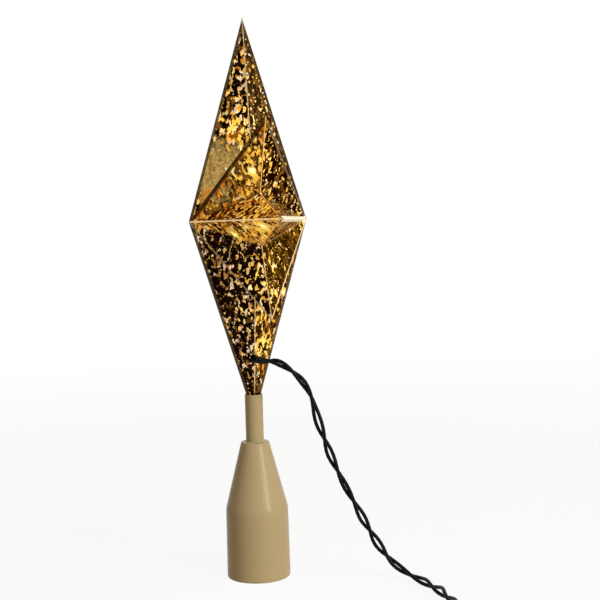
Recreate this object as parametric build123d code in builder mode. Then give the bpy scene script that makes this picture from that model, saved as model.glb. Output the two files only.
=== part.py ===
from build123d import *
import os
from math import cos, dist, hypot, pi, radians, sin, sqrt, tan

os.makedirs("parts", exist_ok=True)

# A lit tree topper: a hollow eight-armed star of two mirrored half shells, standing by its lowest arm
# in the neck of a plain socket base, with ten small lamps inside and a twisted two-wire lead.
# Lengths are millimetres. +Z is up, the star faces -Y, and the origin is the middle of the base rim.

# Shared clearances
cut_overrun = 2.0
snug_gap = 0.1
seat_gap = 0.15
lay_gap = 0.3

# Socket base
rim_radius = 16.0
skirt_top_radius = 15.7
skirt_height = 35.0
cone_height = 33.7
shoulder_radius = 7.05
neck_height = 24.0
rim_round = 0.8
skirt_blend = 12.0
ledge_round = 0.9
neck_root_round = 0.5
socket_radius = 14.3
socket_depth = 33.0
cone_wall = 1.7
neck_wall = 0.55
neck_seat_depth = 8.7
neck_seat_floor = 2.4
neck_core_radius = 2.2
mouth_bevel = 0.25

# Star shells
arm_upright = 100.0
arm_side = 70.7
arm_diagonal = 66.5
arm_valley = 32.3
star_half_depth = 30.0
spike_reach = 96.0
foot_trim_length = 4.0
shell_wall = 1.25
apex_flat_share = 0.006
arm_count = 8

# Lamp carrier
carrier_apothem = 20.0
carrier_wall = 3.5
carrier_half_depth = 5.0
hub_radius = 8.0
hub_half_depth = 1.5
strut_width = 1.6
spoke_width = 2.4
spoke_half_depth = 1.2
tab_bite_share = 0.5

# Lamp sockets and bulbs
socket_barrel_radius = 3.4
socket_tail = 8.0
socket_nose_radius = 3.1
socket_nose = 5.0
socket_flange_radius = 4.3
socket_flange = 1.2
socket_spigot_radius = 2.6
bulb_foot_radius = 1.9
bulb_foot = 5.5
bulb_glass_radius = 2.5
bulb_glass = 14.0
bulb_shoulder = 1.0

# Lead and wiring
cord_diameter = 4.6
cord_exit_drop = 69.0
cord_hole_gap = 0.25
wire_radius = 0.8
inner_lead_diameter = 3.6
anchor_face = 2.4
anchor_above = 4.0
anchor_below = 4.5
anchor_hold_width = 9.0
lead_lamp_gap = 10.8
limp_bend_share = 0.45

# Put-away coil
coil_centre_x = 133.0
coil_centre_y = 37.0
coil_mid_diameter = 50.6
coil_turn_gap = 0.6
coil_inward_quarters = 14
coil_outward_quarters = 13
tie_thickness = 0.8
tie_width = 5.0
tie_bearing = 225.0
tail_length = 18.0

# Plug
relief_length = 20.0
relief_lip = 0.8
relief_end_radius = 4.4
plug_width = 25.0
plug_length = 24.0
plug_corner = 5.0
plug_nose_taper = 2.0
plug_edge_round = 1.5
blade_spacing = 12.7
blade_width = 6.3
blade_thickness = 1.5
blade_reach = 16.0
blade_bite = 6.0

# Heights up the axis
cone_top = skirt_height + cone_height
neck_top = cone_top + neck_height
seat_height = neck_top - neck_seat_depth
star_height = seat_height + spike_reach
arm_lowest = spike_reach + foot_trim_length
exit_height = star_height - cord_exit_drop
star_centre = Vector(0, 0, star_height)

# Star angles and planes: the front plane looks out of the front, the back plane out of the back
arm_step = 360.0 / arm_count
half_step = arm_step / 2
front_plane = Plane(origin=star_centre, x_dir=(1, 0, 0), z_dir=(0, -1, 0))
back_plane = Plane(origin=star_centre, x_dir=(-1, 0, 0), z_dir=(0, 1, 0))
star_span = 2 * (arm_upright + arm_side)


def polar(length, angle):
    """Point at a length and an angle in degrees, in a plane's own coordinates."""
    return (length * cos(radians(angle)), length * sin(radians(angle)))


def star_outline(scale):
    """Tips and valleys of the star in turn, drawn in towards the centre by the scale."""
    upper_reaches = [arm_side, arm_diagonal, arm_upright, arm_diagonal]
    lower_reaches = [arm_side, arm_diagonal, arm_lowest, arm_diagonal]
    points = []
    for index, reach in enumerate(upper_reaches + lower_reaches):
        points.append(polar(scale * reach, index * arm_step))
        points.append(polar(scale * arm_valley, index * arm_step + half_step))
    return points


def facet_distance():
    """Distance from the star's centre to the nearest of its facets."""
    outline = star_outline(1)
    edge_distances = []
    for start, end in zip(outline, outline[1:] + outline[:1]):
        edge_distances.append(abs(start[0] * end[1] - start[1] * end[0]) / dist(start, end))
    edge_distance = min(edge_distances)
    return edge_distance * star_half_depth / hypot(edge_distance, star_half_depth)


facet_reach = facet_distance()
cavity_scale = 1 - shell_wall / facet_reach
anchor_scale = 1 - (shell_wall + seat_gap) / facet_reach
valley_inside = cavity_scale * arm_valley

# The carrier's tabs bite into a share of the wall that is left at the floor of their slots
slot_depth = spoke_half_depth + snug_gap
slot_wall = arm_valley * (1 - slot_depth / star_half_depth) - valley_inside
tab_bite = tab_bite_share * slot_wall

# The lowest arm's ridges set the neck's bore, where they pass its mouth
mouth_share = (foot_trim_length + neck_seat_depth) / arm_lowest
neck_bore = star_half_depth * mouth_share + seat_gap
neck_radius = neck_bore + neck_wall


def star_pyramid(plane, scale):
    """Raise the star outline from the seam to a blunt apex, as flat facets."""
    rise = scale * star_half_depth * (1 - apex_flat_share)
    with BuildPart() as pyramid:
        with BuildSketch(plane):
            with BuildLine():
                Polyline(*star_outline(scale), close=True)
            make_face()
        with BuildSketch(plane.offset(rise)):
            with BuildLine():
                Polyline(*star_outline(scale * apex_flat_share), close=True)
            make_face()
        loft(ruled=True)
    return pyramid.part


def finish(builder, name):
    """Label a finished piece and write its file."""
    builder.part.label = name
    export_step(builder.part, f"parts/{name}.step")


# Socket base: one moulding, a skirt that blends into a cone, a round ledge and a neck, hollow from below
cone_slope = cone_height / (skirt_top_radius - shoulder_radius)
inner_cone_top = cone_top - cone_wall
inner_top_radius = socket_radius - (inner_cone_top - socket_depth) / cone_slope
with BuildPart() as socket_base:
    with BuildSketch(Plane.XZ):
        with BuildLine():
            FilletPolyline(
                (0, 0),
                (rim_radius, 0),
                (skirt_top_radius, skirt_height),
                (shoulder_radius, cone_top),
                (neck_radius, cone_top),
                (neck_radius, neck_top),
                radius=[rim_round, skirt_blend, ledge_round, neck_root_round],
            )
            Polyline((neck_radius, neck_top), (0, neck_top), (0, 0))
        make_face()
    revolve(axis=Axis.Z)
    with BuildSketch(Plane.XZ):
        with BuildLine():
            Polyline(
                (0, 0),
                (socket_radius, 0),
                (socket_radius, socket_depth),
                (inner_top_radius, inner_cone_top),
                (neck_core_radius, inner_cone_top),
                (neck_core_radius, seat_height - neck_seat_floor),
                (0, seat_height - neck_seat_floor),
                close=True,
            )
        make_face()
    revolve(axis=Axis.Z, mode=Mode.SUBTRACT)
    with BuildSketch(Plane.XY.offset(seat_height)):
        Circle(neck_bore)
    extrude(amount=neck_seat_depth + cut_overrun, mode=Mode.SUBTRACT)
    mouth_rings = socket_base.edges().filter_by(GeomType.CIRCLE).group_by(Axis.Z)[-1]
    chamfer(mouth_rings.sort_by(SortBy.RADIUS)[0], length=mouth_bevel)
finish(socket_base, "socket_base")


def half_shell(plane):
    """One half of the star: facets outside and inside, carrier slots, lead notch and a flat foot."""
    outside = star_pyramid(plane, 1)
    cavity = star_pyramid(plane, cavity_scale)
    with BuildPart() as shell:
        add(outside)
        add(cavity, mode=Mode.SUBTRACT)
        slot_length = valley_inside + tab_bite + snug_gap - carrier_apothem
        with BuildSketch(plane):
            with PolarLocations(carrier_apothem + slot_length / 2, arm_count, start_angle=half_step):
                Rectangle(slot_length, spoke_width + 2 * snug_gap)
        extrude(amount=slot_depth, mode=Mode.SUBTRACT)
        with BuildSketch(Plane(origin=(0, 0, exit_height), z_dir=(1, 0, 0))):
            Circle(cord_diameter / 2 + cord_hole_gap)
        extrude(amount=arm_valley, mode=Mode.SUBTRACT)
        with BuildSketch(Plane.XY.offset(seat_height)):
            Rectangle(star_span, star_span)
        extrude(amount=-arm_lowest, mode=Mode.SUBTRACT)
    return shell


star_front_shell = half_shell(front_plane)
finish(star_front_shell, "star_front_shell")
star_back_shell = half_shell(back_plane)
finish(star_back_shell, "star_back_shell")


def lamp_plane(direction, side):
    """Plane through the star's centre whose local x runs out along a lamp."""
    return Plane(origin=star_centre, x_dir=direction, z_dir=side)


arm_angles = [index * arm_step for index in range(arm_count)]
radial_ways = [Vector(cos(radians(angle)), 0, sin(radians(angle))) for angle in arm_angles]

# Lamp carrier: an octagonal ring with a bore facing each arm, a hub on struts, and spokes to the seam
with BuildPart() as lamp_carrier:
    with BuildSketch(front_plane):
        RegularPolygon(carrier_apothem, arm_count, major_radius=False, rotation=half_step)
        RegularPolygon(
            carrier_apothem - carrier_wall,
            arm_count,
            major_radius=False,
            rotation=half_step,
            mode=Mode.SUBTRACT,
        )
    extrude(amount=carrier_half_depth, both=True)
    for way in radial_ways:
        with BuildSketch(Plane(origin=star_centre, z_dir=way)):
            Circle(socket_barrel_radius + snug_gap)
        extrude(amount=carrier_apothem + cut_overrun, mode=Mode.SUBTRACT)
    strut_length = carrier_apothem - carrier_wall / 2
    with BuildSketch(front_plane):
        Circle(hub_radius)
        with PolarLocations(strut_length / 2, arm_count // 2, start_angle=half_step):
            Rectangle(strut_length, strut_width)
        Circle(socket_spigot_radius + snug_gap, mode=Mode.SUBTRACT)
    extrude(amount=hub_half_depth, both=True)
    spoke_length = valley_inside + tab_bite - carrier_apothem
    with BuildSketch(front_plane):
        with PolarLocations(carrier_apothem + spoke_length / 2, arm_count, start_angle=half_step):
            Rectangle(spoke_length, spoke_width)
    extrude(amount=spoke_half_depth, both=True)
finish(lamp_carrier, "lamp_carrier")


def lamp_socket(plane, seat, barrel_radius, tail):
    """A lamp holder: a barrel behind its seat, a flange on it, and a nose with the bulb's bore."""
    nose_end = seat + socket_flange + socket_nose
    bore = bulb_foot_radius + snug_gap
    bore_floor = nose_end - bulb_foot
    with BuildPart() as holder:
        with BuildSketch(plane):
            with BuildLine():
                Polyline(
                    (seat - tail, 0),
                    (seat - tail, barrel_radius),
                    (seat, barrel_radius),
                    (seat, socket_flange_radius),
                    (seat + socket_flange, socket_flange_radius),
                    (seat + socket_flange, socket_nose_radius),
                    (nose_end, socket_nose_radius),
                    (nose_end, bore),
                    (bore_floor, bore),
                    (bore_floor, 0),
                    close=True,
                )
            make_face()
        revolve(axis=Axis(plane.origin, plane.x_dir))
    return holder


def lamp_bulb(plane, seat):
    """A small glass lamp: a foot in the holder's bore and a round-ended envelope."""
    glass_start = seat + socket_flange + socket_nose
    foot_end = glass_start - bulb_foot
    straight_end = glass_start + bulb_glass - bulb_glass_radius
    tip = (glass_start + bulb_glass, 0)
    with BuildPart() as bulb:
        with BuildSketch(plane):
            with BuildLine():
                Polyline(
                    tip,
                    (foot_end, 0),
                    (foot_end, bulb_foot_radius),
                    (glass_start, bulb_foot_radius),
                    (glass_start + bulb_shoulder, bulb_glass_radius),
                    (straight_end, bulb_glass_radius),
                )
                RadiusArc((straight_end, bulb_glass_radius), tip, bulb_glass_radius)
            make_face()
        revolve(axis=Axis(plane.origin, plane.x_dir))
    return bulb


# Ten lamps: one into each arm, and one towards each apex, which plugs into the hub by a short spigot
spigot_length = hub_half_depth - snug_gap
lamp_places = []
for way in radial_ways:
    plane = lamp_plane(way, (0, -1, 0))
    lamp_places.append((plane, carrier_apothem, socket_barrel_radius, socket_tail))
for way in (Vector(0, -1, 0), Vector(0, 1, 0)):
    plane = lamp_plane(way, (1, 0, 0))
    lamp_places.append((plane, hub_half_depth, socket_spigot_radius, spigot_length))
for number, (plane, seat, barrel_radius, tail) in enumerate(lamp_places, start=1):
    finish(lamp_socket(plane, seat, barrel_radius, tail), f"lamp_socket_{number:02d}")
    finish(lamp_bulb(plane, seat), f"lamp_bulb_{number:02d}")

# Lamp harness: a loop of wire that passes the inner ends of the eight arm holders
loop_radius = carrier_apothem - socket_tail - wire_radius - seat_gap
loop_offset = hub_half_depth + wire_radius + seat_gap
with BuildPart() as lamp_harness:
    with BuildSketch(Plane.XY.offset(star_height)):
        with Locations((loop_radius, loop_offset)):
            Circle(wire_radius)
    revolve(axis=Axis(star_centre, (0, 1, 0)))
finish(lamp_harness, "lamp_harness")

# Cord anchor: a wedge that fills the lowest arm's cavity behind the lead's notch, with one flat side.
# It reaches up to where the cavity is wide enough to hold it, and at least a little above the lead.
valley_drop, valley_half_width = polar(arm_valley, half_step)
hold_rise = anchor_hold_width / 2 * (arm_lowest - valley_drop) / valley_half_width
hold_drop = anchor_scale * arm_lowest - hold_rise
anchor_top = star_height - min(cord_exit_drop - anchor_above, hold_drop)
anchor_foot = exit_height - anchor_below
anchor_front = star_pyramid(front_plane, anchor_scale)
anchor_back = star_pyramid(back_plane, anchor_scale)
with BuildPart() as cord_anchor:
    add(anchor_front)
    add(anchor_back)
    with BuildSketch(Plane.XY.offset(anchor_foot)):
        Rectangle(star_span, star_span)
    extrude(amount=anchor_top - anchor_foot, mode=Mode.INTERSECT)
    with BuildSketch(Plane.YZ.offset(anchor_face)):
        with Locations((0, exit_height)):
            Rectangle(star_span, star_span)
    extrude(amount=arm_valley, mode=Mode.SUBTRACT)
finish(cord_anchor, "cord_anchor")


def bend_radii(points):
    """Bend radius at each corner of a route: a share of the shorter run over the half turn's tangent."""
    radii = []
    for before, corner, after in zip(points, points[1:], points[2:]):
        run_in = Vector(*corner) - Vector(*before)
        run_out = Vector(*after) - Vector(*corner)
        half_turn = radians(run_in.get_angle(run_out)) / 2
        radii.append(limp_bend_share * min(run_in.length, run_out.length) / tan(half_turn))
    return radii


def cord_tube(points, diameter, name):
    """A round tube along a route of straight runs joined by tangent arcs."""
    radii = bend_radii(points)
    start = Vector(*points[0])
    with BuildPart() as tube:
        with BuildLine() as path:
            FilletPolyline(*points, radius=radii)
        with BuildSketch(Plane(origin=start, z_dir=Vector(*points[1]) - start)):
            Circle(diameter / 2)
        sweep()
    length = path.wires()[0].length
    print(name, "bend radii", [round(radius, 1) for radius in radii], "length", round(length, 1))
    print(name, "volume share", round(tube.part.volume / (pi * diameter**2 / 4 * length), 4))
    return tube


# Inner lead: from behind the harness loop, past the lowest lamp, down to the top of the anchor
lamp_reach = carrier_apothem + socket_flange + socket_nose + bulb_glass
behind_harness = loop_offset + wire_radius + inner_lead_diameter / 2 + lay_gap
behind_carrier = carrier_half_depth + inner_lead_diameter
inner_route = [
    (0, behind_harness, star_height - loop_radius),
    (0, behind_carrier, star_height - carrier_apothem),
    (0, behind_carrier, star_height - carrier_apothem - bulb_glass),
    (0, 0, star_height - lamp_reach - lead_lamp_gap),
    (0, 0, anchor_top),
]
inner_lead = cord_tube(inner_route, inner_lead_diameter, "inner_lead")
finish(inner_lead, "inner_lead")

# Coil of the put-away lead: spirals in on the floor layer, climbs half a turn, spirals out above
turn_pitch = cord_diameter + coil_turn_gap
lower_layer = tie_thickness + lay_gap + cord_diameter / 2
upper_layer = lower_layer + turn_pitch
inward_turns = coil_inward_quarters / 4
coil_inner = coil_mid_diameter / 2 - turn_pitch * (inward_turns + 1 / 4) / 2
coil_outer = coil_inner + turn_pitch * (inward_turns + 1 / 4)
climb_quarters = 2
coil_quarters = coil_inward_quarters + climb_quarters + coil_outward_quarters
quarter_turn = 90.0
coil_centre = Vector(coil_centre_x, coil_centre_y, 0)


def coil_point(quarters):
    """Centre of the cord and its heading, some quarter turns clockwise from the coil's far side."""
    angle = radians(quarter_turn * (1 - quarters))
    radius = coil_inner + turn_pitch * abs(quarters - coil_inward_quarters - 1) / 4
    height = lower_layer if quarters <= coil_inward_quarters else upper_layer
    drift = turn_pitch / (2 * pi)
    if quarters <= coil_inward_quarters:
        drift = -drift
    if quarters in (0, coil_quarters):
        drift = 0
    outward = Vector(cos(angle), sin(angle), 0)
    onward = Vector(sin(angle), -cos(angle), 0)
    heading = (onward * radius + outward * drift).normalized()
    return coil_centre + outward * radius + Vector(0, 0, height), heading


def biarc(start, start_way, end, end_way):
    """Two arcs that leave one point and reach another along the given headings."""
    gap = end - start
    ways = start_way + end_way
    slack = 4 - ways.dot(ways)
    across = gap.dot(ways)
    reach = (sqrt(across**2 + slack * gap.dot(gap)) - across) / slack
    leave = start + start_way * reach
    arrive = end - end_way * reach
    middle = (leave + arrive) / 2
    TangentArc(start, middle, tangent=start_way)
    TangentArc(middle, end, tangent=arrive - leave)


coil_stops = [stop for stop in range(coil_quarters + 1) if stop != coil_inward_quarters + 1]
coil_start, coil_start_way = coil_point(0)
coil_end, coil_end_way = coil_point(coil_quarters)
lead_meets_coil = coil_start - coil_start_way * cord_diameter
coil_meets_tail = coil_end + coil_end_way * cord_diameter
with BuildPart() as cord_coil:
    with BuildLine() as coil_path:
        Line(lead_meets_coil, coil_start)
        for stop, next_stop in zip(coil_stops, coil_stops[1:]):
            biarc(*coil_point(stop), *coil_point(next_stop))
        Line(coil_end, coil_meets_tail)
    with BuildSketch(Plane(origin=lead_meets_coil, z_dir=coil_start_way)):
        Circle(cord_diameter / 2)
    sweep()
finish(cord_coil, "cord_coil")

coil_wire = coil_path.wires()[0]
coil_length = coil_wire.length
sample_count = round(coil_length / (cord_diameter / 2))
coil_samples = [tuple(coil_wire.position_at(index / sample_count)) for index in range(sample_count + 1)]
apart = round(2 * pi * coil_inner / 2 / (cord_diameter / 2))
least_gap = min(
    dist(point, other) - cord_diameter
    for index, point in enumerate(coil_samples)
    for other in coil_samples[index + apart :]
)
print("cord_coil least gap to itself", round(least_gap, 3), "length", round(coil_length, 1))
print("cord_coil volume share", round(cord_coil.part.volume / (pi * cord_diameter**2 / 4 * coil_length), 4))

# Lead: out of the notch towards +X, over and down beside the base, then along the floor to the coil
floor_line = cord_diameter / 2 + lay_gap
cord_route = [
    (anchor_face, 0, exit_height),
    (15.0, 0, exit_height),
    (26.5, 9.5, 110.5),
    (28.5, 24.0, 103.0),
    (27.0, 30.5, 80.0),
    (25.5, 36.0, 58.0),
    (24.5, 45.0, 38.0),
    (24.0, 53.5, 20.5),
    (26.5, 62.0, 7.5),
    (38.0, 69.5, floor_line),
    (57.0, 74.5, floor_line),
    (85.0, 74.0, floor_line),
    (110.0, coil_start.Y, lower_layer),
    tuple(lead_meets_coil),
]
cord_lead = cord_tube(cord_route, cord_diameter, "cord_lead")
finish(cord_lead, "cord_lead")

# Coil tie: a flat band round all the turns at one place
tie_inside = coil_inner - cord_diameter / 2 - lay_gap
tie_outside = coil_outer + cord_diameter / 2 + lay_gap
tie_top = upper_layer + cord_diameter / 2 + lay_gap
tie_way = Vector(cos(radians(tie_bearing)), sin(radians(tie_bearing)), 0)
tie_plane = Plane(origin=coil_centre, x_dir=tie_way, z_dir=tie_way.cross(Vector(0, 0, 1)))
with BuildPart() as coil_tie:
    with BuildSketch(tie_plane):
        with BuildLine():
            Polyline(
                (tie_inside - tie_thickness, 0),
                (tie_outside + tie_thickness, 0),
                (tie_outside + tie_thickness, tie_top + tie_thickness),
                (tie_inside - tie_thickness, tie_top + tie_thickness),
                close=True,
            )
        make_face()
        with BuildLine():
            Polyline(
                (tie_inside, tie_thickness),
                (tie_outside, tie_thickness),
                (tie_outside, tie_top),
                (tie_inside, tie_top),
                close=True,
            )
        make_face(mode=Mode.SUBTRACT)
    extrude(amount=tie_width / 2, both=True)
finish(coil_tie, "coil_tie")

# Tail of the lead, straight from the coil into the plug's strain relief
tail_end = coil_meets_tail + coil_end_way * tail_length
with BuildPart() as cord_tail:
    with BuildSketch(Plane(origin=coil_meets_tail, z_dir=coil_end_way)):
        Circle(cord_diameter / 2)
    extrude(amount=tail_length)
finish(cord_tail, "cord_tail")

# Plug: a tapered strain relief, a moulded body lying on the floor, and two flat blades
plug_thickness = 2 * upper_layer
relief_plane = Plane(origin=tail_end, x_dir=(1, 0, 0), z_dir=coil_end_way)
plug_plane = relief_plane.offset(relief_length)
nose_plane = plug_plane.offset(plug_length)
relief_start_radius = cord_diameter / 2 + relief_lip
with BuildPart() as plug_strain_relief:
    with BuildSketch(relief_plane):
        Circle(relief_start_radius)
    with BuildSketch(plug_plane):
        Circle(relief_end_radius)
    loft()
finish(plug_strain_relief, "plug_strain_relief")

with BuildPart() as plug_body:
    with BuildSketch(plug_plane):
        RectangleRounded(plug_width, plug_thickness, plug_corner)
    with BuildSketch(nose_plane):
        RectangleRounded(plug_width - plug_nose_taper, plug_thickness - plug_nose_taper, plug_corner)
    loft()
    end_edges = plug_body.faces().filter_by(Plane.XZ).sort_by(Axis.Y)[0].edges()
    fillet(end_edges, radius=plug_edge_round)
    with BuildSketch(nose_plane):
        with GridLocations(blade_spacing, 0, 2, 1):
            Rectangle(blade_thickness + 2 * snug_gap, blade_width + 2 * snug_gap)
    extrude(amount=-blade_bite, mode=Mode.SUBTRACT)
finish(plug_body, "plug_body")

with BuildPart() as plug_blades:
    with BuildSketch(nose_plane.offset(-blade_bite)):
        with GridLocations(blade_spacing, 0, 2, 1):
            Rectangle(blade_thickness, blade_width)
    extrude(amount=blade_bite + blade_reach)
finish(plug_blades, "plug_blades")
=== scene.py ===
"""Looks of a lit tree topper: a mirrored star on a socket base, with a twisted lead and its plug.

Lengths are metres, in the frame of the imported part: +Z is up and the star faces -Y.
"""
import logging
import math
from collections.abc import Callable, Sequence
from dataclasses import dataclass
from enum import Enum
from functools import reduce

import bpy
import numpy as np
from mathutils import Matrix, Vector


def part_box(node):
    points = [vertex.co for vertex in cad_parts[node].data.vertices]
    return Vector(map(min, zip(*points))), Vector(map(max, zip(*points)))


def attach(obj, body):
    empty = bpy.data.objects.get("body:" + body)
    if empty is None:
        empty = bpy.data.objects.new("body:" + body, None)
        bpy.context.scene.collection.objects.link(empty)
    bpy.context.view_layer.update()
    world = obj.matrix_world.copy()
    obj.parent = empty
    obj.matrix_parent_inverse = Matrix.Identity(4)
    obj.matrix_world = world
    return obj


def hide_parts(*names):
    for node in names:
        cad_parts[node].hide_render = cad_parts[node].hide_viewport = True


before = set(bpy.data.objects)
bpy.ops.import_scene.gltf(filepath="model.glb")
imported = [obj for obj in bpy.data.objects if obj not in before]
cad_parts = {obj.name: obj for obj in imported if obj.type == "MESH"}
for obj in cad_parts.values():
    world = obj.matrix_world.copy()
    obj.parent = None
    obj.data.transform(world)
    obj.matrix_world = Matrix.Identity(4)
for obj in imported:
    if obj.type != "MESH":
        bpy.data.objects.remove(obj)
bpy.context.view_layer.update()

Colour = tuple[float, float, float]
Point = tuple[float, float, float]
Range = tuple[float, float]
Material = bpy.types.Material
Object = bpy.types.Object
Outputs = bpy.types.NodeOutputs
Socket = bpy.types.NodeSocket
Value = Socket | float | Point
Inputs = dict[str | int, Value]

LOG = logging.getLogger("topper")
STAR_BODY = "star"
TURN = 2 * math.pi
UPWARD = np.array([0.0, 0.0, 1.0])
ORIGIN: Point = (0.0, 0.0, 0.0)
BLACK: Colour = (0.0, 0.0, 0.0)
WHITE: Colour = (1.0, 1.0, 1.0)


class Ray(Enum):
    """Rays that look at the studio's white."""

    CAMERA = "Is Camera Ray"
    GLOSSY = "Is Glossy Ray"
    TRANSMISSION = "Is Transmission Ray"


class Blend(Enum):
    """Ways of mixing two colours."""

    OVER = "MIX"
    TIMES = "MULTIPLY"


class Row(Enum):
    """How a row of colours goes from one to the next."""

    BANDS = "CONSTANT"
    SHADES = "LINEAR"


@dataclass(frozen=True)
class Grain:
    """A fractal noise about one half. Its scale is in features to a unit of the place it is read at."""

    scale: float
    detail: float = 2.0
    rough: float = 0.5
    distortion: float = 0.0


class Graph:
    """A node tree with short ways of adding the nodes that the finishes need."""

    MEASURES = ("LENGTH", "DISTANCE")

    def __init__(self, tree: bpy.types.NodeTree) -> None:
        """Wrap the node tree of a material, a world or a group."""
        self.tree = tree

    def fill(self, sockets: bpy.types.NodeInputs, values: Inputs) -> None:
        """Link a node's inputs or set their values.

        Args:
            sockets: the inputs.
            values: an output socket, a number, a vector or a colour for each, by its name or number.
        """
        for key, value in values.items():
            socket = sockets[key]
            if isinstance(value, Socket):
                self.tree.links.new(value, socket)
            else:
                socket.default_value = (*value, 1.0) if socket.type == "RGBA" else value

    def add(self, kind: str, inputs: Inputs | None = None, **settings: object) -> bpy.types.Node:
        """Add a node.

        Args:
            kind: the node's Blender type.
            inputs: what its inputs take, by name or number.
            settings: properties of the node, set before its inputs.

        Returns:
            The new node.
        """
        node = self.tree.nodes.new(kind)
        for name, value in settings.items():
            setattr(node, name, value)
        self.fill(node.inputs, inputs or {})
        return node

    def math(self, operation: str, *values: Value) -> Socket:
        """Result of a Math node on up to three values."""
        return self.add("ShaderNodeMath", dict(enumerate(values)), operation=operation).outputs[0]

    def plus(self, *values: Value) -> Socket:
        """Sum of the values."""
        return reduce(lambda first, second: self.math("ADD", first, second), values)

    def less(self, first: Value, second: Value) -> Socket:
        """The first value less the second."""
        return self.math("SUBTRACT", first, second)

    def times(self, *values: Value) -> Socket:
        """Product of the values."""
        return reduce(lambda first, second: self.math("MULTIPLY", first, second), values)

    def most(self, *values: Value) -> Socket:
        """Greatest of the values."""
        return reduce(lambda first, second: self.math("MAXIMUM", first, second), values)

    def vector(self, operation: str, *values: Value) -> Socket:
        """Result of a Vector Math node on up to two vectors, a number where it measures them."""
        node = self.add("ShaderNodeVectorMath", dict(enumerate(values)), operation=operation)
        return node.outputs["Value" if operation in self.MEASURES else "Vector"]

    def split(self, vector: Value) -> tuple[Socket, ...]:
        """The x, y and z of a vector."""
        return tuple(self.add("ShaderNodeSeparateXYZ", {0: vector}).outputs)

    def join(self, x: Value, y: Value, z: Value) -> Socket:
        """A vector from its x, y and z."""
        return self.add("ShaderNodeCombineXYZ", {0: x, 1: y, 2: z}).outputs[0]

    def step(self, value: Value, low: float, high: float) -> Socket:
        """Smooth step from 0 to 1 as the value goes from low to high, which may be the other way round."""
        ends = {"Value": value, "From Min": low, "From Max": high}
        return self.add("ShaderNodeMapRange", ends, interpolation_type="SMOOTHSTEP").outputs[0]

    def spread(self, value: Value, low: Value, high: Value) -> Socket:
        """A value from 0 to 1 spread evenly from low to high."""
        return self.add("ShaderNodeMapRange", {"Value": value, "To Min": low, "To Max": high}).outputs[0]

    def mix(self, share: Value, first: Value, second: Value, way: Blend = Blend.OVER) -> Socket:
        """The first colour with a share of the second laid on it."""
        inputs = {0: share, 6: first, 7: second}
        return self.add("ShaderNodeMix", inputs, data_type="RGBA", blend_type=way.value).outputs[2]

    def noise(self, place: Value, grain: Grain) -> Socket:
        """Value of a fractal noise."""
        inputs = {"Vector": place, "Scale": grain.scale, "Detail": grain.detail, "Roughness": grain.rough}
        return self.add("ShaderNodeTexNoise", {**inputs, "Distortion": grain.distortion}).outputs[0]

    def cells(self, place: Value, scale: float) -> Outputs:
        """Outputs of a texture of small cells, with a chance colour for each."""
        return self.add("ShaderNodeTexVoronoi", {"Vector": place, "Scale": scale}).outputs

    def bump(self, height: Value, relief: Range, **settings: object) -> Socket:
        """Normal of a surface with fine heights, from the relief's strength and depth."""
        inputs = {"Height": height, "Strength": relief[0], "Distance": relief[1]}
        return self.add("ShaderNodeBump", inputs, **settings).outputs[0]

    def ramp(self, value: Value, colours: Sequence[Colour], row: Row = Row.BANDS) -> Socket:
        """A row of colours for a value from 0 to 1, evenly spaced.

        Args:
            value: where along the row to look.
            colours: the colours in order.
            row: whether they are flat bands or run into each other.

        Returns:
            The colour's socket.
        """
        node = self.add("ShaderNodeValToRGB", {0: value})
        node.color_ramp.interpolation = row.value
        spans = len(colours) if row is Row.BANDS else len(colours) - 1
        stops = node.color_ramp.elements
        while len(stops) < len(colours):
            stops.new(len(stops) / len(colours))
        for index, colour in enumerate(colours):
            stops[index].position = index / spans
            stops[index].color = (*colour, 1.0)
        return node.outputs[0]

    def object_place(self) -> Socket:
        """Object coordinates."""
        return self.add("ShaderNodeTexCoord").outputs["Object"]


class Effect(Graph):
    """A shader node group, built once, with named inputs and outputs."""

    KINDS = {float: "NodeSocketFloat", tuple: "NodeSocketVector"}

    def __init__(self, name: str, inputs: dict[str, float | Point], outputs: list[str]) -> None:
        """Make the empty group.

        Args:
            name: the group's name.
            inputs: each input's name and what it holds when nothing is linked.
            outputs: the names of the values that it puts out.
        """
        super().__init__(bpy.data.node_groups.new(name, "ShaderNodeTree"))
        for label, default in inputs.items():
            kind = self.KINDS[type(default)]
            socket = self.tree.interface.new_socket(label, in_out="INPUT", socket_type=kind)
            socket.default_value = default
        for label in outputs:
            self.tree.interface.new_socket(label, in_out="OUTPUT", socket_type="NodeSocketFloat")
        self.given = self.add("NodeGroupInput").outputs
        self.results = self.add("NodeGroupOutput").inputs

    def put(self, **values: Value) -> None:
        """Feed the group's outputs by name."""
        self.fill(self.results, values)

    def place_in(self, graph: Graph, **inputs: Value) -> Outputs:
        """Outputs of the group, placed in a material's graph with its own inputs."""
        return graph.add("ShaderNodeGroup", inputs, node_tree=self.tree).outputs


class Paint(Graph):
    """The graph of a new material with a Principled shader."""

    def __init__(self, name: str) -> None:
        """Make the material.

        Args:
            name: the material's name.
        """
        self.made = bpy.data.materials.new(name)
        self.made.use_nodes = True
        super().__init__(self.made.node_tree)
        self.tree.nodes.clear()
        self.shader = self.add("ShaderNodeBsdfPrincipled")
        self.add("ShaderNodeOutputMaterial", {"Surface": self.shader.outputs[0]})

    def finish(self, **inputs: Value) -> Material:
        """The material, with the shader's inputs filled, which are named with _ for each space."""
        self.fill(self.shader.inputs, {name.replace("_", " "): value for name, value in inputs.items()})
        return self.made


def unit(vectors: np.ndarray) -> np.ndarray:
    """Each vector over its own length."""
    return vectors / np.linalg.norm(vectors, axis=-1, keepdims=True)


def round_angles(sides: int) -> np.ndarray:
    """Angles evenly round a ring."""
    return np.arange(sides) * TURN / sides


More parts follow.
